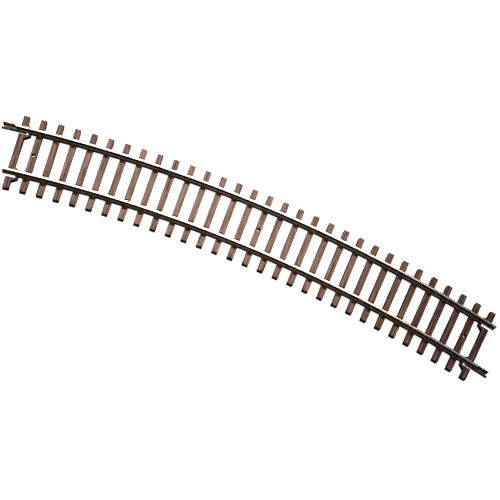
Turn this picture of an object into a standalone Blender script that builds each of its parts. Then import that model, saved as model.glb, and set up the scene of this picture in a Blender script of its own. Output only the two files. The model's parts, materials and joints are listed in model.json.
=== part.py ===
"""A curved section of model railway track: a moulded tie strip, two rails and two rail joiners.

Blender 4.5, metres, +Z up. +X runs along the chord of the curve and +Y points away from its
centre. The origin is the middle of the bounding box, on the surface that the ties stand on.
"""

import math

import bmesh
import bpy
from mathutils import Matrix, Vector

MM = 0.001

# The curve
RADIUS = 457.2 * MM
SWEEP = math.radians(22.5)
RAIL_SPACING = 17.3 * MM
TIE_COUNT = 31
END_OVERHANG = 0.43  # from an end tie's middle to the rail ends, in tie pitches
CURVE_STEPS = 30

# Ties and the plastic between them
TIE_LENGTH = 29.2 * MM
TIE_WIDTH = 2.25 * MM
TIE_HEIGHT = 2.0 * MM
WEB_HALF_WIDTH = 0.8 * MM
WEB_LOW = 1.0 * MM
WEB_HIGH = 1.9 * MM
NAIL_TIES = (1, 15, 29)
NAIL_HOLE_RADIUS = 0.6 * MM
NAIL_HOLE_SIDES = 20

# The open pockets under the rail ends, and the gussets round them
POCKET_HALF_WIDTH = 1.5 * MM
POCKET_DEPTH = 2.1 * MM
GUSSET_ROOT = 0.6 * MM
GUSSET_ROOT_HALF_WIDTH = 3.1 * MM
GUSSET_TIP = 3.0 * MM
GUSSET_TIP_HALF_WIDTH = 1.5 * MM
GUSSET_SKIN = 0.05 * MM

# Rail section
FIT_GAP = 0.1 * MM
RAIL_HEIGHT = 2.1 * MM
HEAD_HALF_WIDTH = 0.42 * MM
HEAD_DEPTH = 0.55 * MM
HEAD_CORNER = 0.08 * MM
RAIL_WEB_HALF_WIDTH = 0.25 * MM
FOOT_HALF_WIDTH = 0.9 * MM
FOOT_EDGE = 0.3 * MM
FOOT_RISE = 0.55 * MM

# The moulded clips that hold the rail foot
CLIP_WIDTH = 1.5 * MM
CLIP_REACH = 2.0 * MM
CLIP_TOP = 0.85 * MM
CLIP_TOE = 0.15 * MM
CLIP_LIP = 0.2 * MM
CLIP_ROOT = 0.2 * MM

# Rail joiners, folded from sheet
JOINER_LENGTH = 8.5 * MM
JOINER_OUT = 4.5 * MM
JOINER_SHEET = 0.3 * MM
JOINER_LIP = 0.62 * MM
JOINER_FLARE = 0.08 * MM
JOINER_FLARE_LENGTH = 0.7 * MM
SLOT_FROM_TIP = 2.5 * MM
SLOT_WIDTH = 0.35 * MM

RAIL_END = RADIUS * SWEEP / 2
TIE_PITCH = 2 * RAIL_END / (TIE_COUNT - 1 + 2 * END_OVERHANG)
MIDDLE_TIE = (TIE_COUNT - 1) / 2
END_TIE = MIDDLE_TIE * TIE_PITCH
RAIL_SEAT = TIE_HEIGHT + FIT_GAP
RAILS = {"outer": RAIL_SPACING / 2, "inner": -RAIL_SPACING / 2}
TIE_BROWN = (0.10, 0.052, 0.036)
NICKEL_SILVER = (0.62, 0.58, 0.48)
DARK_NICKEL = (0.30, 0.27, 0.22)


def clear_scene():
    for obj in list(bpy.data.objects):
        bpy.data.objects.remove(obj, do_unlink=True)


def track_frame(along, offset=0.0):
    """Local axes at a place on the curve: X along the track, Y away from the curve's centre."""
    angle = along / RADIUS
    reach = RADIUS + offset
    place = Vector((reach * math.sin(angle), reach * math.cos(angle) - RADIUS, 0))
    return Matrix.Translation(place) @ Matrix.Rotation(-angle, 4, "Z")


def mirrored(half):
    """The whole of a symmetrical outline, from its right half read from bottom to top."""
    return half + [(-x, y) for x, y in reversed(half)]


def add_prism(bm, outline, direction):
    """A solid: a flat outline carried along a direction."""
    face = bm.faces.new([bm.verts.new(point) for point in outline])
    carried = bmesh.ops.extrude_face_region(bm, geom=[face])["geom"]
    moved = [item for item in carried if isinstance(item, bmesh.types.BMVert)]
    bmesh.ops.translate(bm, verts=moved, vec=direction)


def add_loft(bm, rings):
    """A solid through a row of rings of points, closed by a face at each end."""
    loops = [[bm.verts.new(point) for point in ring] for ring in rings]
    count = len(loops[0])
    for loop, following in zip(loops, loops[1:]):
        for here in range(count):
            there = (here + 1) % count
            bm.faces.new((loop[here], loop[there], following[there], following[here]))
    bm.faces.new(loops[0])
    bm.faces.new(loops[-1])


def add_curved_bar(bm, outline, reach, offset):
    """An outline in (Y, Z) carried along the curve, as far each way from the middle tie."""
    rings = []
    for step in range(CURVE_STEPS + 1):
        frame = track_frame(reach * (2 * step / CURVE_STEPS - 1), offset)
        rings.append([frame @ Vector((0, y, z)) for y, z in outline])
    add_loft(bm, rings)


def add_box(bm, frame, low, high):
    size = Vector(high) - Vector(low)
    middle = (Vector(high) + Vector(low)) / 2
    placed = frame @ Matrix.Translation(middle) @ Matrix.Diagonal((*size, 1))
    bmesh.ops.create_cube(bm, size=1, matrix=placed)


def new_object(name, bm, smooth_angle=None):
    bmesh.ops.recalc_face_normals(bm, faces=bm.faces)
    mesh = bpy.data.meshes.new(name)
    bm.to_mesh(mesh)
    bm.free()
    if smooth_angle is not None:
        mesh.shade_smooth()
        mesh.set_sharp_from_angle(angle=smooth_angle)
    obj = bpy.data.objects.new(name, mesh)
    bpy.context.scene.collection.objects.link(obj)
    return obj


def helper_object(name, bm):
    obj = new_object(name, bm)
    obj.hide_render = True
    obj.display_type = "WIRE"
    return obj


def combine(obj, operation, other):
    modifier = obj.modifiers.new(other.name, "BOOLEAN")
    modifier.operation = operation
    modifier.solver = "EXACT"
    modifier.object = other


def give_material(obj, color, roughness, metallic):
    material = bpy.data.materials.new(obj.name + "_material")
    material.use_nodes = True
    shader = material.node_tree.nodes["Principled BSDF"]
    shader.inputs["Base Color"].default_value = (*color, 1)
    shader.inputs["Roughness"].default_value = roughness
    shader.inputs["Metallic"].default_value = metallic
    obj.data.materials.append(material)


def tie_place(number):
    return (number - MIDDLE_TIE) * TIE_PITCH


def make_ties():
    bm = bmesh.new()
    low = (-TIE_WIDTH / 2, -TIE_LENGTH / 2, 0)
    high = (TIE_WIDTH / 2, TIE_LENGTH / 2, TIE_HEIGHT)
    for number in range(TIE_COUNT):
        add_box(bm, track_frame(tie_place(number)), low, high)
    return new_object("tie_strip", bm)


def make_webs():
    """One bar under each rail, which ties the moulding together from gusset to gusset."""
    bm = bmesh.new()
    outline = mirrored([(WEB_HALF_WIDTH, WEB_LOW), (WEB_HALF_WIDTH, WEB_HIGH)])
    reach = END_TIE - (POCKET_DEPTH + GUSSET_TIP) / 2
    for offset in RAILS.values():
        add_curved_bar(bm, outline, reach, offset)
    return helper_object("tie_webs", bm)


def clip_outline(side):
    """A clip in (Y, Z): it stands beside the rail foot and laps over its edge."""
    inside = FOOT_HALF_WIDTH + FIT_GAP
    under_lip = RAIL_SEAT + FOOT_EDGE + FIT_GAP
    lip_rise = FOOT_RISE * CLIP_LIP / FOOT_HALF_WIDTH
    half = [
        (inside, TIE_HEIGHT - CLIP_ROOT),
        (CLIP_REACH, TIE_HEIGHT - CLIP_ROOT),
        (CLIP_REACH, TIE_HEIGHT + CLIP_TOE),
        (inside + CLIP_LIP, TIE_HEIGHT + CLIP_TOP),
        (inside - CLIP_LIP, TIE_HEIGHT + CLIP_TOP),
        (inside - CLIP_LIP, under_lip + lip_rise),
        (inside, under_lip),
    ]
    return [(side * y, z) for y, z in half]


def make_clips():
    bm = bmesh.new()
    for number in range(1, TIE_COUNT - 1):
        for offset in RAILS.values():
            frame = track_frame(tie_place(number), offset)
            across = frame.to_3x3() @ Vector((CLIP_WIDTH, 0, 0))
            for side in (-1, 1):
                start = [frame @ Vector((-CLIP_WIDTH / 2, y, z)) for y, z in clip_outline(side)]
                add_prism(bm, start, across)
    return helper_object("tie_clips", bm)


def end_frames():
    """Frames on both end ties under both rails, with X pointing inward along the track."""
    for end in (-1, 1):
        for offset in RAILS.values():
            frame = track_frame(end * END_TIE, offset)
            yield frame @ Matrix.Diagonal((-end, 1, 1, 1))


def make_gussets():
    bm = bmesh.new()
    outline = [
        (GUSSET_ROOT, -GUSSET_ROOT_HALF_WIDTH),
        (GUSSET_TIP, -GUSSET_TIP_HALF_WIDTH),
        (GUSSET_TIP, GUSSET_TIP_HALF_WIDTH),
        (GUSSET_ROOT, GUSSET_ROOT_HALF_WIDTH),
    ]
    height = Vector((0, 0, TIE_HEIGHT - 2 * GUSSET_SKIN))
    for frame in end_frames():
        add_prism(bm, [frame @ Vector((x, y, GUSSET_SKIN)) for x, y in outline], height)
    return helper_object("end_gussets", bm)


def make_pockets():
    bm = bmesh.new()
    low = (-TIE_WIDTH, -POCKET_HALF_WIDTH, -TIE_HEIGHT)
    high = (POCKET_DEPTH, POCKET_HALF_WIDTH, 2 * TIE_HEIGHT)
    for frame in end_frames():
        add_box(bm, frame, low, high)
    return helper_object("end_pockets", bm)


def make_nail_holes():
    bm = bmesh.new()
    for number in NAIL_TIES:
        frame = track_frame(tie_place(number)) @ Matrix.Translation((0, 0, TIE_HEIGHT / 2))
        bmesh.ops.create_cone(
            bm,
            cap_ends=True,
            segments=NAIL_HOLE_SIDES,
            radius1=NAIL_HOLE_RADIUS,
            radius2=NAIL_HOLE_RADIUS,
            depth=2 * TIE_HEIGHT,
            matrix=frame,
        )
    return helper_object("nail_holes", bm)


def make_tie_strip():
    strip = make_ties()
    helpers = [make_webs(), make_gussets(), make_clips()]
    for helper in helpers:
        combine(strip, "UNION", helper)
    for cutter in (make_pockets(), make_nail_holes()):
        combine(strip, "DIFFERENCE", cutter)
        helpers.append(cutter)
    give_material(strip, TIE_BROWN, 0.6, 0)
    return strip, helpers


def rail_outline():
    half = [
        (FOOT_HALF_WIDTH, 0),
        (FOOT_HALF_WIDTH, FOOT_EDGE),
        (RAIL_WEB_HALF_WIDTH, FOOT_RISE),
        (RAIL_WEB_HALF_WIDTH, RAIL_HEIGHT - 1.35 * HEAD_DEPTH),
        (HEAD_HALF_WIDTH, RAIL_HEIGHT - HEAD_DEPTH),
        (HEAD_HALF_WIDTH, RAIL_HEIGHT - HEAD_CORNER),
        (HEAD_HALF_WIDTH - HEAD_CORNER, RAIL_HEIGHT),
    ]
    return [(y, RAIL_SEAT + z) for y, z in mirrored(half)]


def make_rail(name, offset):
    bm = bmesh.new()
    add_curved_bar(bm, rail_outline(), RAIL_END, offset)
    rail = new_object(name, bm, smooth_angle=math.radians(20))
    give_material(rail, NICKEL_SILVER, 0.35, 1)
    return rail


def joiner_outline(flare):
    """The folded sheet in (Y, Z) about the middle of the rail's underside."""
    inside = FOOT_HALF_WIDTH + FIT_GAP + flare
    outside = inside + JOINER_SHEET
    lip = JOINER_LIP + flare
    shoulder = FOOT_EDGE + FIT_GAP
    lip_height = shoulder + (FOOT_RISE - FOOT_EDGE) * (inside - lip) / FOOT_HALF_WIDTH
    outer = [
        (outside - JOINER_SHEET / 2, -FIT_GAP - JOINER_SHEET),
        (outside, -FIT_GAP - JOINER_SHEET / 2),
        (outside, shoulder + JOINER_SHEET / 2),
        (outside - JOINER_SHEET / 2, shoulder + JOINER_SHEET),
        (lip, lip_height + JOINER_SHEET),
    ]
    inner = [
        (lip, lip_height),
        (inside, shoulder),
        (inside, -FIT_GAP),
    ]
    return mirrored(outer + inner)


def make_joiner_slots(name):
    """Cutters for the slots that part the four spring ears from the middle of the joiner."""
    bm = bmesh.new()
    for middle in (SLOT_FROM_TIP, JOINER_LENGTH - SLOT_FROM_TIP):
        start = JOINER_OUT - middle - SLOT_WIDTH / 2
        for side in (-1, 1):
            near, far = sorted((side * JOINER_LIP / 2, side * 2 * FOOT_HALF_WIDTH))
            low = (start, near, FOOT_EDGE / 2)
            high = (start + SLOT_WIDTH, far, RAIL_HEIGHT)
            add_box(bm, Matrix.Identity(4), low, high)
    return helper_object(name, bm)


def make_joiner(name, end, offset):
    """A joiner whose own X axis is the way it pulls off the rail, from the rail's end."""
    bm = bmesh.new()
    tip = JOINER_OUT
    root = JOINER_OUT - JOINER_LENGTH
    stations = [
        (root, JOINER_FLARE),
        (root + JOINER_FLARE_LENGTH, 0),
        (tip - JOINER_FLARE_LENGTH, 0),
        (tip, JOINER_FLARE),
    ]
    add_loft(bm, [[(x, y, z) for y, z in joiner_outline(flare)] for x, flare in stations])
    joiner = new_object(name, bm)
    slots = make_joiner_slots(name + "_slots")
    slots.parent = joiner
    combine(joiner, "DIFFERENCE", slots)
    joiner.matrix_world = (
        track_frame(end * RAIL_END, offset)
        @ Matrix.Translation((0, 0, RAIL_SEAT))
        @ Matrix.Rotation(0 if end > 0 else math.pi, 4, "Z")
    )
    give_material(joiner, DARK_NICKEL, 0.45, 1)
    return joiner


def centre_on_origin(parts, helpers):
    """Hangs everything on one empty, placed so that the box of the parts stands on the origin."""
    bpy.context.view_layer.update()
    corners = [obj.matrix_world @ vertex.co for obj in parts for vertex in obj.data.vertices]
    low = Vector([min(corner[axis] for corner in corners) for axis in range(3)])
    high = Vector([max(corner[axis] for corner in corners) for axis in range(3)])
    base = bpy.data.objects.new("track_base", None)
    bpy.context.scene.collection.objects.link(base)
    for obj in parts + helpers:
        obj.parent = base
    base.location = (-(low.x + high.x) / 2, -(low.y + high.y) / 2, -low.z)


def main():
    clear_scene()
    strip, helpers = make_tie_strip()
    parts = [
        strip,
        make_rail("outer_rail", RAILS["outer"]),
        make_rail("inner_rail", RAILS["inner"]),
        make_joiner("outer_rail_joiner", -1, RAILS["outer"]),
        make_joiner("inner_rail_joiner", 1, RAILS["inner"]),
    ]
    centre_on_origin(parts, helpers)


main()
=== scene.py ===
"""The looks of a curved section of model railway track: wood-grained plastic ties, two rails
and two folded rail joiners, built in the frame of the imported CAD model. Metres, +Z up."""

import json
import math

import bmesh
import bpy
from mathutils import Matrix, Quaternion, Vector, noise


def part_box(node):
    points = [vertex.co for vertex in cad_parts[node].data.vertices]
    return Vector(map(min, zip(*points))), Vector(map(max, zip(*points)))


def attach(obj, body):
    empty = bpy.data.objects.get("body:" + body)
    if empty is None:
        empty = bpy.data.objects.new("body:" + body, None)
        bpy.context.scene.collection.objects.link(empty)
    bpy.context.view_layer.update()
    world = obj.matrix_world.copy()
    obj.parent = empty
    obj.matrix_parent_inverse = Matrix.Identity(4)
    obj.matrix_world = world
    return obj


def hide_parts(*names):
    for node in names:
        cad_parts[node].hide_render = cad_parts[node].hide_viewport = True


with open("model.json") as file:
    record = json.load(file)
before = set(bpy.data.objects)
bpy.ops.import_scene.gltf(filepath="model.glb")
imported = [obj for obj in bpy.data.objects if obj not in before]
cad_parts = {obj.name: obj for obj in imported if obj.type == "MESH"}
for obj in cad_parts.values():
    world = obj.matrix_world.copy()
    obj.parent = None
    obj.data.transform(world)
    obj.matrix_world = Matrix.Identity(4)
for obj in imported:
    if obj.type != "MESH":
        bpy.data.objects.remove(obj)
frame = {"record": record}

MM = 0.001

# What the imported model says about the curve, read from its mounts
MOUNTS = {mount["name"]: mount for mount in frame["record"]["mounts"]}
OUTER_LEFT = Vector(MOUNTS["outer_rail_end_left"]["pos_m"])
OUTER_RIGHT = Vector(MOUNTS["outer_rail_end_right"]["pos_m"])
INNER_RIGHT = Vector(MOUNTS["inner_rail_end_right"]["pos_m"])
HALF_SWEEP = math.asin(-MOUNTS["outer_rail_end_right"]["axis"][1])
RAIL_SPACING = (OUTER_RIGHT - INNER_RIGHT).length
OUTER_RADIUS = (OUTER_RIGHT.x - OUTER_LEFT.x) / (2 * math.sin(HALF_SWEEP))
RADIUS = OUTER_RADIUS - RAIL_SPACING / 2
CENTRE = Vector((
    (OUTER_RIGHT.x + OUTER_LEFT.x) / 2,
    OUTER_LEFT.y - OUTER_RADIUS * math.cos(HALF_SWEEP),
    0,
))
TIE_TOP = MOUNTS["nail_seat_middle"]["pos_m"][2]
RAIL_TOP = MOUNTS["running_surface"]["pos_m"][2]
RAIL_END = RADIUS * HALF_SWEEP
RAILS = {"outer": RAIL_SPACING / 2, "inner": -RAIL_SPACING / 2}

# Ties
TIE_COUNT = 31
END_OVERHANG = 0.43  # from an end tie's middle to the rail ends, in tie pitches
TIE_PITCH = 2 * RAIL_END / (TIE_COUNT - 1 + 2 * END_OVERHANG)
MIDDLE_TIE = (TIE_COUNT - 1) / 2
END_TIE = MIDDLE_TIE * TIE_PITCH
TIE_LENGTH = 2 * (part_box("tie_strip")[1].y - CENTRE.y - RADIUS)
TIE_WIDTH = 2.25 * MM
TIE_DRAFT = 0.03 * MM
TIE_EDGE = 0.13 * MM
TIE_STATIONS = 58
TIE_SIDE_STEPS = 5
TIE_EDGE_STEPS = 3
TIE_TOP_STEPS = 14
NAIL_TIES = (1, 15, 29)
NAIL_HOLE_RADIUS = 0.6 * MM
NAIL_RECESS_RADIUS = 0.85 * MM
NAIL_RECESS_HEIGHT = 0.45 * MM
NAIL_BEVEL = 0.12 * MM
MARK_TIES = (1, 29)
MARK_OFFSET = 5.5 * MM
MARK_RADIUS = 0.5 * MM
MARK_DEPTH = 0.09 * MM

# Wood grain pressed into the ties: features per metre across and along a tie
GRAIN_DEPTH = 0.075 * MM
FINE_GRAIN = (3100, 110)
BROAD_GRAIN = (1300, 60)
GRAIN_SHIFT = 17.3  # from one tie's grain to the next one's
GRAIN_FLOOR = 0.12  # below this the surface is flat
WORN_END = 2.5 * MM  # the grain is deeper in this much of a tie's end

# The plastic between the ties
WEB_HALF_WIDTH = 0.8 * MM
WEB_LOW = 1.0 * MM
WEB_HIGH = 1.9 * MM
WEB_CORNER = 0.12 * MM
POCKET_HALF_WIDTH = 1.5 * MM
POCKET_DEPTH = 2.1 * MM
POCKET_CORNER = 0.12 * MM
GUSSET_ROOT = 0.6 * MM
GUSSET_ROOT_HALF_WIDTH = 3.1 * MM
GUSSET_TIP = 3.0 * MM
GUSSET_TIP_HALF_WIDTH = 1.5 * MM
GUSSET_CORNER = 0.25 * MM
GUSSET_EDGE = 0.1 * MM
GUSSET_LOW = 0.05 * MM
GUSSET_DROP = 0.05 * MM  # below the tops of the ties

# Plates, clips and spikes that hold the rail foot: each kind keeps its own gap to the rail
CLIP_ROOT = 0.3 * MM
CLIP_LAP = 0.22 * MM
PLATE_WIDTH = 1.7 * MM
PLATE_REACH = 2.03 * MM
PLATE_HEIGHT = 0.08 * MM
PLATE_GAP = 0.08 * MM
CLIP_WIDTH = 1.4 * MM
CLIP_REACH = 1.96 * MM
CLIP_TOP = 0.7 * MM
CLIP_GAP = 0.065 * MM
SPIKE_WIDTH = 0.5 * MM
SPIKE_REACH = 1.8 * MM
SPIKE_TOP = 0.85 * MM
SPIKE_GAP = 0.05 * MM

# Rail section
RAIL_HEIGHT = 2.1 * MM
HEAD_HALF_WIDTH = 0.42 * MM
HEAD_DEPTH = 0.55 * MM
RAIL_WEB_HALF_WIDTH = 0.25 * MM
FOOT_HALF_WIDTH = 0.9 * MM
FOOT_EDGE = 0.3 * MM
FOOT_RISE = 0.55 * MM
RAIL_CHAMFER = 0.03 * MM
RAIL_STEPS = 120
RAIL_SEAT = RAIL_TOP - RAIL_HEIGHT

# Joiners, measured outward from the rail's end: from JOINER_ROOT, under the rail, to JOINER_OUT
JOINER_ENDS = {"outer": -1, "inner": 1}  # -1 is the left end of the track, 1 the right end
JOINER_LENGTH = 8.5 * MM
JOINER_OUT = 4.5 * MM
JOINER_ROOT = JOINER_OUT - JOINER_LENGTH
JOINER_SHEET = 0.3 * MM
JOINER_GAP = 0.1 * MM
JOINER_LIP = 0.6 * MM
JOINER_FLARE = 0.08 * MM
JOINER_FLARE_LENGTH = 0.8 * MM
JOINER_STEPS = 68
SLOT_FROM_TIP = 2.5 * MM
SLOT_WIDTH = 0.35 * MM
SLOT_EDGE = 0.001 * MM
FLOOR_NOTCH = 0.45 * MM
FLOOR_NOTCH_HALF_WIDTH = 0.5 * MM
FLOOR_NOTCH_CORNER = 0.4 * MM
DIMPLE_DEPTH = 0.1 * MM
DIMPLE_RADIUS = 0.45 * MM
DIMPLE_SPACING = 1.0 * MM

# The view, and the far edge of the white floor and backdrop
CAMERA_AIM = Vector((1.46, -4.59, 2.0)) * MM
CAMERA_DISTANCE = 295.57 * MM
CAMERA_AZIMUTH = math.radians(-6.22)
CAMERA_ELEVATION = math.radians(62.56)
CAMERA_ROLL = math.radians(28.25)
CAMERA_LENS = 61.58
BACKDROP_RADIUS = 4.0


# Shapes

def track_frame(along, offset=0.0):
    """Axes at a place on the curve: X along the track, Y away from the curve's centre."""
    angle = along / RADIUS
    reach = RADIUS + offset
    place = CENTRE + Vector((reach * math.sin(angle), reach * math.cos(angle), 0))
    return Matrix.Translation(place) @ Matrix.Rotation(-angle, 4, "Z")


def tie_place(number):
    return (number - MIDDLE_TIE) * TIE_PITCH


def smooth_step(value):
    value = min(max(value, 0.0), 1.0)
    return value * value * (3 - 2 * value)


def mirrored(half):
    """The whole of a symmetrical outline, from its right half read from bottom to top."""
    return half + [(-x, y, *rest) for x, y, *rest in reversed(half)]


def rounded(corners, steps=3):
    """An outline from corners (x, y, radius), with an arc in place of each corner."""
    outline = []
    for index, (x, y, radius) in enumerate(corners):
        if radius == 0:
            outline.append((x, y))
            continue
        corner = Vector((x, y, 0))
        before = (Vector((*corners[index - 1][:2], 0)) - corner).normalized()
        after = (Vector((*corners[(index + 1) % len(corners)][:2], 0)) - corner).normalized()
        half_angle = before.angle(after) / 2
        reach = radius / math.tan(half_angle)
        middle = corner + (before + after).normalized() * (radius / math.sin(half_angle))
        start = (corner + before * reach - middle).normalized()
        end = (corner + after * reach - middle).normalized()
        for step in range(steps + 1):
            point = middle + start.slerp(end, step / steps) * radius
            outline.append((point.x, point.y))
    return outline


def add_loft(bm, rings):
    """A solid through a row of rings of points, closed by a face at each end."""
    loops = [[bm.verts.new(point) for point in ring] for ring in rings]
    count = len(loops[0])
    for loop, following in zip(loops, loops[1:]):
        for here in range(count):
            there = (here + 1) % count
            bm.faces.new((loop[here], loop[there], following[there], following[here]))
    bm.faces.new(loops[0])
    bm.faces.new(loops[-1])


def shrunk(outline, inset):
    """An outline drawn in towards its middle by about this distance."""
    middle = sum((Vector(point) for point in outline), Vector((0, 0))) / len(outline)
    drawn = []
    for point in outline:
        arm = Vector(point) - middle
        drawn.append(middle + arm * max(0.0, 1 - inset / max(arm.length, inset)))
    return drawn


def add_block(bm, frame_at, outline, start, end, edge):
    """An outline in (Y, Z) carried from start to end along X, with its end edges rounded."""
    stations = [(start, edge), (start + edge * 0.3, edge * 0.3), (start + edge, 0)]
    stations += [(start + end - x, inset) for x, inset in reversed(stations)]
    rings = []
    for x, inset in stations:
        rings.append([frame_at @ Vector((x, y, z)) for y, z in shrunk(outline, inset)])
    add_loft(bm, rings)


def add_curved_bar(bm, outline, reach, offset, steps):
    rings = []
    for step in range(steps + 1):
        here = track_frame(reach * (2 * step / steps - 1), offset)
        rings.append([here @ Vector((0, y, z)) for y, z in outline])
    add_loft(bm, rings)


def add_upright(bm, frame_at, levels):
    """A solid from flat outlines in (X, Y), each at its own height: levels are (z, outline)."""
    add_loft(bm, [[frame_at @ Vector((x, y, z)) for x, y in outline] for z, outline in levels])


def circle(radius, sides=32):
    angles = [2 * math.pi * side / sides for side in range(sides)]
    return [(radius * math.cos(angle), radius * math.sin(angle)) for angle in angles]


def new_object(name, bm):
    bmesh.ops.recalc_face_normals(bm, faces=bm.faces)
    mesh = bpy.data.meshes.new(name)
    bm.to_mesh(mesh)
    bm.free()
    obj = bpy.data.objects.new(name, mesh)
    bpy.context.scene.collection.objects.link(obj)
    return obj


def combined(base, joined, cutters):
    """Base with some solids joined on and others cut away, as one plain mesh."""
    for operation, others in (("UNION", joined), ("DIFFERENCE", cutters)):
        for other in others:
            modifier = base.modifiers.new(other.name, "BOOLEAN")
            modifier.operation = operation
            modifier.solver = "MANIFOLD"
            modifier.object = other
    bpy.context.view_layer.update()
    graph = bpy.context.evaluated_depsgraph_get()
    mesh = bpy.data.meshes.new_from_object(base.evaluated_get(graph))
    base.modifiers.clear()
    base.data = mesh
    for other in joined + cutters:
        bpy.data.objects.remove(other)
    return base


def smooth(obj, angle):
    obj.data.shade_smooth()
    obj.data.set_sharp_from_angle(angle=math.radians(angle))


# The tie strip

def tie_outline():
    """A tie's section in (X, Z) without its underside, up the right side and down the left."""
    base = TIE_WIDTH / 2
    top = base - TIE_DRAFT
    right = []
    for step in range(TIE_SIDE_STEPS):
        part = step / TIE_SIDE_STEPS
        right.append((base + (top - base) * part, (TIE_TOP - TIE_EDGE) * part))
    for step in range(TIE_EDGE_STEPS + 1):
        turn = math.radians(90 * step / TIE_EDGE_STEPS)
        right.append((
            top - TIE_EDGE + TIE_EDGE * math.cos(turn),
            TIE_TOP - TIE_EDGE + TIE_EDGE * math.sin(turn),
        ))
    flat = top - TIE_EDGE
    across = [(flat * (1 - 2 * step / TIE_TOP_STEPS), TIE_TOP) for step in range(1, TIE_TOP_STEPS)]
    return right + across + [(-x, z) for x, z in reversed(right)]


def outward(outline):
    """Which way the surface faces at each point of an open outline."""
    facing = []
    last = len(outline) - 1
    for index in range(len(outline)):
        ahead = Vector(outline[min(index + 1, last)]) - Vector(outline[max(index - 1, 0)])
        facing.append(Vector((ahead.y, -ahead.x)).normalized())
    facing[0] = Vector((1, 0))
    facing[last] = Vector((-1, 0))
    return facing


def grain_noise(x, y, z, per_metre, shift):
    across, along = per_metre
    return noise.noise(Vector((
        x * across + shift[0],
        y * along + shift[1],
        z * across + shift[2],
    )))


def grain_depth(x, y, z, number):
    """How deep the wood grain is pressed at a point of a tie."""
    shift = GRAIN_SHIFT * number
    fine = grain_noise(x, y, z, FINE_GRAIN, (0, shift, 0))
    broad = grain_noise(x, y, z, BROAD_GRAIN, (5, shift, 9))
    near_end = smooth_step((abs(y) - TIE_LENGTH / 2 + WORN_END) / WORN_END)
    crack = max(0.0, fine * 1.5 + broad - GRAIN_FLOOR)
    return GRAIN_DEPTH * min(1.0, crack * (1.1 + 0.9 * near_end))


def tie_stations():
    """Places along a tie with how far its section is drawn in there."""
    end = TIE_LENGTH / 2
    rim = [(end, TIE_EDGE * 0.8), (end - TIE_EDGE * 0.3, TIE_EDGE * 0.25), (end - TIE_EDGE, 0)]
    reach = end - 2 * TIE_EDGE
    body = [(reach * (1 - 2 * step / TIE_STATIONS), 0) for step in range(TIE_STATIONS + 1)]
    return rim + body + [(-y, inset) for y, inset in reversed(rim)]


def add_tie(bm, number):
    place = track_frame(tie_place(number))
    outline = tie_outline()
    facing = outward(outline)
    middle = TIE_TOP / 2
    rings = []
    for y, inset in tie_stations():
        wide = 1 - inset / (TIE_WIDTH / 2)
        high = 1 - inset / middle
        ring = []
        for (x, z), normal in zip(outline, facing):
            depth = grain_depth(x, y, z, number)
            px = (x - normal.x * depth) * wide
            pz = middle + (z - normal.y * depth - middle) * high
            ring.append(place @ Vector((px, y, pz)))
        rings.append(ring)
    add_loft(bm, rings)


def make_ties():
    bm = bmesh.new()
    for number in range(TIE_COUNT):
        add_tie(bm, number)
    return new_object("tie_strip_looks", bm)


def make_webs():
    """The bars under the rails that join the ties into one strip."""
    bm = bmesh.new()
    outline = rounded(mirrored([
        (WEB_HALF_WIDTH, WEB_LOW, WEB_CORNER),
        (WEB_HALF_WIDTH, WEB_HIGH, WEB_CORNER),
    ]))
    reach = END_TIE - (POCKET_DEPTH + GUSSET_TIP) / 2
    for offset in RAILS.values():
        add_curved_bar(bm, outline, reach, offset, RAIL_STEPS)
    return new_object("webs", bm)


def clip_outline(width_out, top, gap):
    """A clip in (Y, Z), this gap beside the rail foot and lapping over its edge."""
    inside = FOOT_HALF_WIDTH + gap
    root = TIE_TOP - CLIP_ROOT - gap
    lapped = inside - CLIP_LAP
    seat = RAIL_SEAT + FOOT_EDGE + gap
    return [
        (inside, root, 0),
        (width_out, root, 0),
        (width_out, TIE_TOP + 0.1 * MM + gap, 0.05 * MM),
        (inside + 0.3 * MM, TIE_TOP + top, 0.15 * MM),
        (lapped, TIE_TOP + top - 0.06 * MM, 0.08 * MM),
        (lapped, seat + 0.09 * MM, 0.03 * MM),
        (inside, seat, 0),
    ]


def plate_outline():
    """The thin plate under a clip, in (Y, Z)."""
    inside = FOOT_HALF_WIDTH + PLATE_GAP
    root = TIE_TOP - CLIP_ROOT
    top = TIE_TOP + PLATE_HEIGHT
    return [
        (inside, root, 0),
        (PLATE_REACH, root, 0),
        (PLATE_REACH, top, 0.06 * MM),
        (inside, top, 0.03 * MM),
    ]


def add_clip_piece(bm, here, side, corners, width, edge):
    outline = [(side * y, z) for y, z in rounded(corners)]
    add_block(bm, here, outline, -width / 2, width / 2, edge)


def make_clips(name, corners, width, edge):
    bm = bmesh.new()
    for number in range(1, TIE_COUNT - 1):
        for offset in RAILS.values():
            here = track_frame(tie_place(number), offset)
            for side in (-1, 1):
                add_clip_piece(bm, here, side, corners, width, edge)
    return new_object(name, bm)


def end_frames():
    """Frames on both end ties under both rails, with X pointing inward along the track."""
    for end in (-1, 1):
        for offset in RAILS.values():
            yield track_frame(end * END_TIE, offset) @ Matrix.Diagonal((-end, 1, 1, 1))


def gusset_outline(inset):
    return rounded([
        (GUSSET_ROOT, -GUSSET_ROOT_HALF_WIDTH + inset, 0),
        (GUSSET_TIP - inset, -GUSSET_TIP_HALF_WIDTH + inset, GUSSET_CORNER),
        (GUSSET_TIP - inset, GUSSET_TIP_HALF_WIDTH - inset, GUSSET_CORNER),
        (GUSSET_ROOT, GUSSET_ROOT_HALF_WIDTH - inset, 0),
    ], steps=5)


def make_gussets():
    """Wedges inward of the end ties, a little lower than the ties."""
    bm = bmesh.new()
    edge = GUSSET_EDGE
    top = TIE_TOP - GUSSET_DROP
    levels = [
        (GUSSET_LOW, gusset_outline(0)),
        (top - edge, gusset_outline(0)),
        (top - edge * 0.3, gusset_outline(edge * 0.3)),
        (top, gusset_outline(edge)),
    ]
    for here in end_frames():
        add_upright(bm, here, levels)
    return new_object("gussets", bm)


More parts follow.
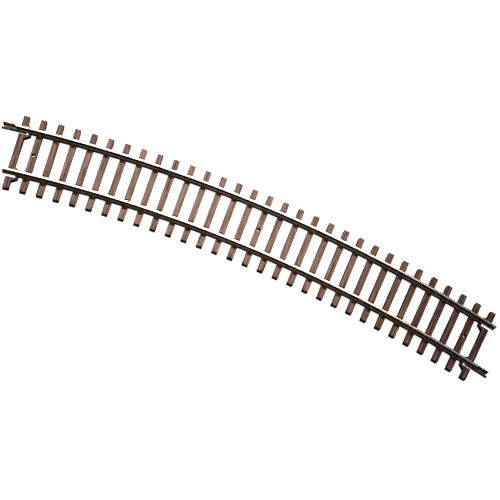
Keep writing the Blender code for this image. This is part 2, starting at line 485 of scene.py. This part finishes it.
def make_pockets():
    """Cutters that open the end ties under the rail ends, for the joiners."""
    bm = bmesh.new()
    outline = rounded([
        (-TIE_WIDTH, -POCKET_HALF_WIDTH, 0),
        (POCKET_DEPTH, -POCKET_HALF_WIDTH, POCKET_CORNER),
        (POCKET_DEPTH, POCKET_HALF_WIDTH, POCKET_CORNER),
        (-TIE_WIDTH, POCKET_HALF_WIDTH, 0),
    ], steps=5)
    for here in end_frames():
        add_upright(bm, here, [(-TIE_TOP, outline), (2 * TIE_TOP, outline)])
    return new_object("pockets", bm)


def make_nail_holes():
    """Cutters for the nail holes, wider below and bevelled at the top."""
    bm = bmesh.new()
    levels = [
        (-TIE_TOP, circle(NAIL_RECESS_RADIUS)),
        (NAIL_RECESS_HEIGHT, circle(NAIL_RECESS_RADIUS)),
        (NAIL_RECESS_HEIGHT, circle(NAIL_HOLE_RADIUS)),
        (TIE_TOP - NAIL_BEVEL, circle(NAIL_HOLE_RADIUS)),
        (TIE_TOP + NAIL_BEVEL, circle(NAIL_HOLE_RADIUS + 2 * NAIL_BEVEL)),
    ]
    for number in NAIL_TIES:
        add_upright(bm, track_frame(tie_place(number)), levels)
    return new_object("nail_holes", bm)


def make_mould_marks():
    """Cutters for shallow round marks of the mould's pins, on the second tie from each end."""
    bm = bmesh.new()
    levels = [(TIE_TOP - MARK_DEPTH, circle(MARK_RADIUS)), (2 * TIE_TOP, circle(MARK_RADIUS))]
    for number in MARK_TIES:
        for offset in (-MARK_OFFSET, MARK_OFFSET):
            add_upright(bm, track_frame(tie_place(number), offset), levels)
    return new_object("mould_marks", bm)


def make_tie_strip():
    clip = clip_outline(CLIP_REACH, CLIP_TOP, CLIP_GAP)
    spike = clip_outline(SPIKE_REACH, SPIKE_TOP, SPIKE_GAP)
    joined = [
        make_webs(),
        make_gussets(),
        make_clips("tie_plates", plate_outline(), PLATE_WIDTH, 0.05 * MM),
        make_clips("clips", clip, CLIP_WIDTH, 0.1 * MM),
        make_clips("spikes", spike, SPIKE_WIDTH, 0.12 * MM),
    ]
    cutters = [make_pockets(), make_nail_holes(), make_mould_marks()]
    strip = combined(make_ties(), joined, cutters)
    smooth(strip, 32)
    return strip


# Rails

def rail_outline():
    """The rail's section in (Y, Z): flat foot, thin web and rounded head."""
    half = [
        (FOOT_HALF_WIDTH, RAIL_SEAT, 0.05 * MM),
        (FOOT_HALF_WIDTH, RAIL_SEAT + FOOT_EDGE, 0.12 * MM),
        (RAIL_WEB_HALF_WIDTH, RAIL_SEAT + FOOT_RISE, 0.16 * MM),
        (RAIL_WEB_HALF_WIDTH, RAIL_TOP - 1.35 * HEAD_DEPTH, 0.12 * MM),
        (HEAD_HALF_WIDTH, RAIL_TOP - HEAD_DEPTH, 0.06 * MM),
        (HEAD_HALF_WIDTH, RAIL_TOP - 0.02 * MM, 0.14 * MM),
    ]
    return rounded(half + [(0, RAIL_TOP, 3 * MM)] + mirrored(half)[len(half):], steps=4)


def rail_stations():
    """Places along a rail, each with the outline there: a little smaller at both ends."""
    outline = rail_outline()
    tip = shrunk(outline, RAIL_CHAMFER)
    stations = [(-RAIL_END, tip), (RAIL_CHAMFER - RAIL_END, outline)]
    for step in range(1, RAIL_STEPS):
        stations.append((RAIL_END * (2 * step / RAIL_STEPS - 1), outline))
    return stations + [(RAIL_END - RAIL_CHAMFER, outline), (RAIL_END, tip)]


def make_rail(name, offset):
    bm = bmesh.new()
    rings = []
    for along, outline in rail_stations():
        here = track_frame(along, offset)
        rings.append([here @ Vector((0, y, z)) for y, z in outline])
    add_loft(bm, rings)
    rail = new_object(name, bm)
    smooth(rail, 30)
    return rail


# Joiners

def joiner_corners(flare):
    """Half of the folded sheet in (Y, Z, bend radius) about the middle of the rail's underside."""
    inside = FOOT_HALF_WIDTH + JOINER_GAP + flare
    outside = inside + JOINER_SHEET
    lip = JOINER_LIP + flare
    shoulder = FOOT_EDGE + JOINER_GAP
    lip_height = shoulder + 0.12 * MM
    tight = 0.1 * MM
    return [
        (outside, -JOINER_GAP - JOINER_SHEET, tight + JOINER_SHEET * 0.8),
        (outside, shoulder + JOINER_SHEET, tight + JOINER_SHEET * 0.8),
        (lip, lip_height + JOINER_SHEET, 0.08 * MM),
        (lip - 0.02 * MM, lip_height, 0.06 * MM),
        (inside, shoulder, tight),
        (inside, -JOINER_GAP, tight),
    ]


def dimple(x, y, z):
    """How far a side of the joiner is pressed in: two round dimples beside its middle."""
    if abs(y) <= FOOT_HALF_WIDTH:
        return 0.0
    middle = JOINER_OUT - JOINER_LENGTH / 2
    pressed = 0.0
    for centre in (middle - DIMPLE_SPACING / 2, middle + DIMPLE_SPACING / 2):
        away = math.hypot(x - centre, z - FOOT_EDGE / 2) / DIMPLE_RADIUS
        pressed = max(pressed, smooth_step(1 - away))
    return pressed * DIMPLE_DEPTH


def joiner_rings():
    rings = []
    for step in range(JOINER_STEPS + 1):
        x = JOINER_ROOT + JOINER_LENGTH * step / JOINER_STEPS
        from_end = min(x - JOINER_ROOT, JOINER_OUT - x)
        flare = JOINER_FLARE * (1 - smooth_step(from_end / JOINER_FLARE_LENGTH))
        ring = []
        for y, z in rounded(mirrored(joiner_corners(flare)), steps=5):
            ring.append((x, y - math.copysign(dimple(x, y, z), y), z))
        rings.append(ring)
    return rings


def make_joiner_slots():
    """Cutters for the slots that part the spring ears."""
    bm = bmesh.new()
    half = SLOT_WIDTH / 2
    for middle in (JOINER_OUT - SLOT_FROM_TIP, JOINER_ROOT + SLOT_FROM_TIP):
        for side in (-1, 1):
            near, far = sorted((side * JOINER_LIP / 2, side * 2 * FOOT_HALF_WIDTH))
            outline = rounded([
                (near, FOOT_EDGE / 2, 0.05 * MM),
                (far, FOOT_EDGE / 2, 0.05 * MM),
                (far, RAIL_HEIGHT, 0),
                (near, RAIL_HEIGHT, 0),
            ])
            add_block(bm, Matrix.Translation((middle, 0, 0)), outline, -half, half, SLOT_EDGE)
    return new_object("joiner_slots", bm)


def make_floor_notches():
    """Cutters for a rounded notch in the floor of the joiner at each end."""
    bm = bmesh.new()
    outline = rounded([
        (-FLOOR_NOTCH, -FLOOR_NOTCH_HALF_WIDTH, FLOOR_NOTCH_CORNER),
        (FLOOR_NOTCH, -FLOOR_NOTCH_HALF_WIDTH, 0),
        (FLOOR_NOTCH, FLOOR_NOTCH_HALF_WIDTH, 0),
        (-FLOOR_NOTCH, FLOOR_NOTCH_HALF_WIDTH, FLOOR_NOTCH_CORNER),
    ], steps=6)
    for end, way in ((JOINER_OUT, 1), (JOINER_ROOT, -1)):
        here = Matrix.Translation((end, 0, 0)) @ Matrix.Diagonal((way, 1, 1, 1))
        add_upright(bm, here, [(-RAIL_HEIGHT, outline), (FOOT_EDGE / 2, outline)])
    return new_object("floor_notches", bm)


def make_joiner(name, end, offset):
    bm = bmesh.new()
    add_loft(bm, joiner_rings())
    joiner = combined(new_object(name, bm), [], [make_joiner_slots(), make_floor_notches()])
    place = (
        track_frame(end * RAIL_END, offset)
        @ Matrix.Translation((0, 0, RAIL_SEAT))
        @ Matrix.Rotation(0 if end > 0 else math.pi, 4, "Z")
    )
    joiner.data.transform(place)
    smooth(joiner, 35)
    return joiner


# Materials

def add_node(tree, kind, inputs=None, **settings):
    """A shader node, with each input either linked to a socket or set to a value."""
    made = tree.nodes.new("ShaderNode" + kind)
    for name, value in settings.items():
        setattr(made, name, value)
    for name, value in (inputs or {}).items():
        if isinstance(value, bpy.types.NodeSocket):
            tree.links.new(value, made.inputs[name])
        else:
            made.inputs[name].default_value = value
    return made


def maths(tree, operation, first, second=0.0):
    return add_node(tree, "Math", {0: first, 1: second}, operation=operation).outputs[0]


def track_place(tree):
    """Sockets for distance along the track, offset from its middle line and height, in mm."""
    point = add_node(tree, "TexCoord").outputs["Object"]
    local = add_node(tree, "VectorMath", {0: point, 1: CENTRE}, operation="SUBTRACT")
    parts = add_node(tree, "SeparateXYZ", {0: local.outputs[0]})
    flat = add_node(tree, "CombineXYZ", {0: parts.outputs["X"], 1: parts.outputs["Y"]})
    reach = add_node(tree, "VectorMath", {0: flat.outputs[0]}, operation="LENGTH")
    angle = maths(tree, "ARCTAN2", parts.outputs["X"], parts.outputs["Y"])
    along = maths(tree, "MULTIPLY", angle, RADIUS / MM)
    offset = maths(tree, "MULTIPLY", maths(tree, "SUBTRACT", reach.outputs["Value"], RADIUS), 1 / MM)
    height = maths(tree, "MULTIPLY", parts.outputs["Z"], 1 / MM)
    return along, offset, height


def stretched_noise(tree, place, per_mm, detail=3.0, roughness=0.55, shift=0.0):
    """Noise with its own number of features per mm along, across and up."""
    scaled = [maths(tree, "MULTIPLY", socket, scale) for socket, scale in zip(place, per_mm)]
    scaled[1] = maths(tree, "ADD", scaled[1], shift)
    vector = add_node(tree, "CombineXYZ", dict(enumerate(scaled))).outputs[0]
    made = add_node(
        tree, "TexNoise", {"Vector": vector, "Scale": 1.0, "Detail": detail, "Roughness": roughness}
    )
    return made.outputs["Fac"]


def ramp(tree, factor, stops):
    made = add_node(tree, "ValToRGB", {"Fac": factor})
    elements = made.color_ramp.elements
    while len(elements) < len(stops):
        elements.new(0.5)
    for element, (position, color) in zip(elements, stops):
        element.position = position
        element.color = (*color, 1)
    return made.outputs["Color"]


def mixed(tree, factor, first, second, blend="MIX"):
    made = add_node(tree, "Mix", data_type="RGBA", blend_type=blend)
    for index, value in ((0, factor), (6, first), (7, second)):
        if isinstance(value, bpy.types.NodeSocket):
            tree.links.new(value, made.inputs[index])
        elif index == 0:
            made.inputs[index].default_value = value
        else:
            made.inputs[index].default_value = (*value, 1)
    return made.outputs[2]


def between(tree, factor, low, high, start=0.0, end=1.0):
    """A number that goes from low to high as factor goes from start to end."""
    inputs = {"Value": factor, "From Min": start, "From Max": end, "To Min": low, "To Max": high}
    return add_node(tree, "MapRange", inputs, interpolation_type="SMOOTHSTEP").outputs["Result"]


def new_material(name):
    material = bpy.data.materials.new(name)
    material.use_nodes = True
    return material, material.node_tree, material.node_tree.nodes["Principled BSDF"]


def connect(tree, shader, **sockets):
    for name, socket in sockets.items():
        tree.links.new(socket, shader.inputs[name.replace("_", " ")])


def bump(tree, height, strength, distance):
    inputs = {"Height": height, "Strength": strength, "Distance": distance}
    return add_node(tree, "Bump", inputs).outputs["Normal"]


def tie_tone(tree, along):
    """A grey of its own for each tie, to make it a little darker or lighter than the next."""
    number = maths(tree, "ROUND", maths(tree, "DIVIDE", along, TIE_PITCH / MM))
    tone = add_node(tree, "TexWhiteNoise", {"W": number}, noise_dimensions="1D").outputs["Value"]
    light = between(tree, tone, 0.86, 1.12)
    return add_node(tree, "CombineColor", {0: light, 1: light, 2: light}).outputs[0]


def tie_plastic():
    material, tree, shader = new_material("tie_plastic")
    place = track_place(tree)
    grain = stretched_noise(tree, place, per_mm=(3.2, 0.13, 3.2), detail=5)
    patch = stretched_noise(tree, place, per_mm=(0.9, 0.22, 0.9), detail=2, shift=40)
    speck = stretched_noise(tree, place, per_mm=(6, 3, 6), detail=2, shift=90)
    brown = ramp(tree, grain, [
        (0.32, (0.010, 0.003, 0.002)),
        (0.50, (0.034, 0.012, 0.007)),
        (0.64, (0.080, 0.036, 0.024)),
    ])
    weathered = ramp(tree, patch, [
        (0.35, (0.028, 0.014, 0.007)),
        (0.65, (0.046, 0.013, 0.010)),
    ])
    color = mixed(tree, 0.45, brown, weathered)
    connect(
        tree, shader,
        Base_Color=mixed(tree, 1.0, color, tie_tone(tree, place[0]), "MULTIPLY"),
        Roughness=between(tree, grain, 0.40, 0.24, start=0.3, end=0.7),
        Normal=bump(tree, mixed(tree, 0.3, grain, speck), 0.45, 0.06 * MM),
    )
    shader.inputs["Specular IOR Level"].default_value = 0.7
    shader.inputs["Specular Tint"].default_value = (1.0, 0.66, 0.56, 1)
    return material


def head_top(tree, height):
    """1 on top of the rail's head, which wear keeps bright, and 0 lower down and on its sides, whose
    dark colour is partly tarnish and partly painted shade.
    """
    facing = add_node(tree, "SeparateXYZ", {0: add_node(tree, "NewGeometry").outputs["Normal"]})
    up = between(tree, facing.outputs["Z"], 0.0, 1.0, start=0.35, end=0.9)
    high = between(tree, height, 0.0, 1.0, start=3.2, end=3.9)
    return maths(tree, "MULTIPLY", up, high)


def rail_metal():
    material, tree, shader = new_material("rail_metal")
    place = track_place(tree)
    drawn = stretched_noise(tree, place, per_mm=(0.05, 9, 9), detail=4)
    stain = stretched_noise(tree, place, per_mm=(0.6, 1.2, 1.2), detail=4, shift=20)
    # Up-facing surfaces high on the head get bright metal; the sides and foot get a dark colour that
    # is partly tarnish and partly painted shade
    worn_top_vs_shaded_sides = head_top(tree, place[2])
    bright = ramp(tree, drawn, [(0.3, (0.62, 0.57, 0.48)), (0.7, (0.80, 0.75, 0.65))])
    # The dark colour of the rail's sides and foot: partly tarnish, partly painted shade
    tarnish_and_painted_shade = ramp(tree, stain, [(0.35, (0.07, 0.05, 0.036)), (0.7, (0.22, 0.175, 0.13))])
    wear = between(tree, worn_top_vs_shaded_sides, 0.42, 0.24)
    connect(
        tree, shader,
        Base_Color=mixed(tree, worn_top_vs_shaded_sides, tarnish_and_painted_shade, bright),
        Roughness=maths(tree, "ADD", wear, between(tree, stain, -0.05, 0.09)),
        Normal=bump(tree, drawn, 0.25, 0.01 * MM),
    )
    shader.inputs["Metallic"].default_value = 1.0
    return material


def joiner_metal():
    material, tree, shader = new_material("joiner_metal")
    place = track_place(tree)
    stain = stretched_noise(tree, place, per_mm=(0.9, 0.9, 0.9), detail=5, shift=60)
    rolled = stretched_noise(tree, place, per_mm=(0.3, 8, 8), detail=3, shift=11)
    color = ramp(tree, stain, [
        (0.32, (0.03, 0.023, 0.017)),
        (0.52, (0.10, 0.08, 0.06)),
        (0.70, (0.32, 0.28, 0.22)),
    ])
    connect(
        tree, shader,
        Base_Color=color,
        Roughness=between(tree, stain, 0.50, 0.28, start=0.3, end=0.7),
        Normal=bump(tree, rolled, 0.3, 0.012 * MM),
    )
    shader.inputs["Metallic"].default_value = 1.0
    return material


# Stage

def white_paper():
    material, _, shader = new_material("white_paper")
    shader.inputs["Base Color"].default_value = (0.85, 0.85, 0.85, 1)
    shader.inputs["Roughness"].default_value = 0.9
    shader.inputs["Emission Color"].default_value = (1, 1, 1, 1)
    shader.inputs["Emission Strength"].default_value = 0.93
    return material


def make_surround():
    """A white floor in a white dome, which the camera sees but the object doesn't reflect."""
    floor_mesh = bmesh.new()
    bmesh.ops.create_grid(floor_mesh, x_segments=1, y_segments=1, size=BACKDROP_RADIUS)
    dome_mesh = bmesh.new()
    bmesh.ops.create_uvsphere(dome_mesh, u_segments=48, v_segments=24, radius=BACKDROP_RADIUS)
    floor = new_object("floor", floor_mesh)
    backdrop = new_object("backdrop", dome_mesh)
    backdrop.visible_shadow = False
    paper = white_paper()
    for white in (floor, backdrop):
        white.data.materials.append(paper)
        white.visible_diffuse = False
        white.visible_glossy = False


def make_softbox(name, place, aim, size, radiance, color, spread=180):
    """A soft light of this size, with its light kept within a cone of spread degrees."""
    width, depth = size
    light = bpy.data.lights.new(name, "AREA")
    light.shape = "RECTANGLE"
    light.size = width
    light.size_y = depth
    light.energy = radiance * math.pi * width * depth
    light.color = color
    light.spread = math.radians(spread)
    box = bpy.data.objects.new(name, light)
    box.location = place
    box.rotation_mode = "QUATERNION"
    box.rotation_quaternion = (Vector(aim) - Vector(place)).to_track_quat("-Z", "Y")
    bpy.context.scene.collection.objects.link(box)


def make_room():
    """Weak light from all round, strongest overhead and weakest from floor level down."""
    world = bpy.data.worlds.new("room")
    bpy.context.scene.world = world
    world.use_nodes = True
    tree = world.node_tree
    direction = add_node(tree, "TexCoord").outputs["Generated"]
    up = add_node(tree, "SeparateXYZ", {0: direction}).outputs["Z"]
    strength = between(tree, up, 0.02, 0.16, start=-0.05, end=1.0)
    background = tree.nodes["Background"]
    background.inputs["Color"].default_value = (1.0, 0.98, 0.95, 1)
    tree.links.new(strength, background.inputs["Strength"])


def make_lights():
    make_softbox(
        "softbox", place=(-0.034, 0.160, 0.300), aim=(-0.028, 0, 0), size=(0.27, 0.25),
        radiance=0.72, color=(1.0, 0.90, 0.78), spread=50,
    )
    make_softbox(
        "overhead_card", place=(0.015, -0.060, 0.300), aim=(0, 0, 0), size=(0.10, 0.10),
        radiance=4.0, color=(1.0, 0.92, 0.82),
    )


def make_camera():
    """A camera that looks at CAMERA_AIM from the distance and the angles above."""
    level = math.cos(CAMERA_ELEVATION)
    back = Vector((
        math.sin(CAMERA_AZIMUTH) * level,
        -math.cos(CAMERA_AZIMUTH) * level,
        math.sin(CAMERA_ELEVATION),
    ))
    data = bpy.data.cameras.new("camera")
    data.lens = CAMERA_LENS
    data.clip_start = 0.01
    camera = bpy.data.objects.new("camera", data)
    camera.location = CAMERA_AIM + back * CAMERA_DISTANCE
    camera.rotation_mode = "QUATERNION"
    roll = Quaternion((0, 0, 1), CAMERA_ROLL)
    camera.rotation_quaternion = (-back).to_track_quat("-Z", "Y") @ roll
    bpy.context.scene.collection.objects.link(camera)
    bpy.context.scene.camera = camera


def add_piece(obj, node, body, material):
    """Puts a finished piece in place of its CAD node."""
    obj.data.materials.clear()
    obj.data.materials.append(material)
    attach(obj, body)
    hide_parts(node)


def main():
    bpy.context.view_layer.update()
    make_camera()
    add_piece(make_tie_strip(), "tie_strip", "track", tie_plastic())
    rail_finish = rail_metal()
    joiner_finish = joiner_metal()
    for name, end in JOINER_ENDS.items():
        rail = make_rail(name + "_rail_looks", RAILS[name])
        add_piece(rail, name + "_rail", "track", rail_finish)
        joiner = make_joiner(name + "_joiner_looks", end, RAILS[name])
        add_piece(joiner, name + "_rail_joiner", name + "_joiner", joiner_finish)
    make_surround()
    make_room()
    make_lights()
    bpy.context.scene.view_settings.view_transform = "Standard"


main()
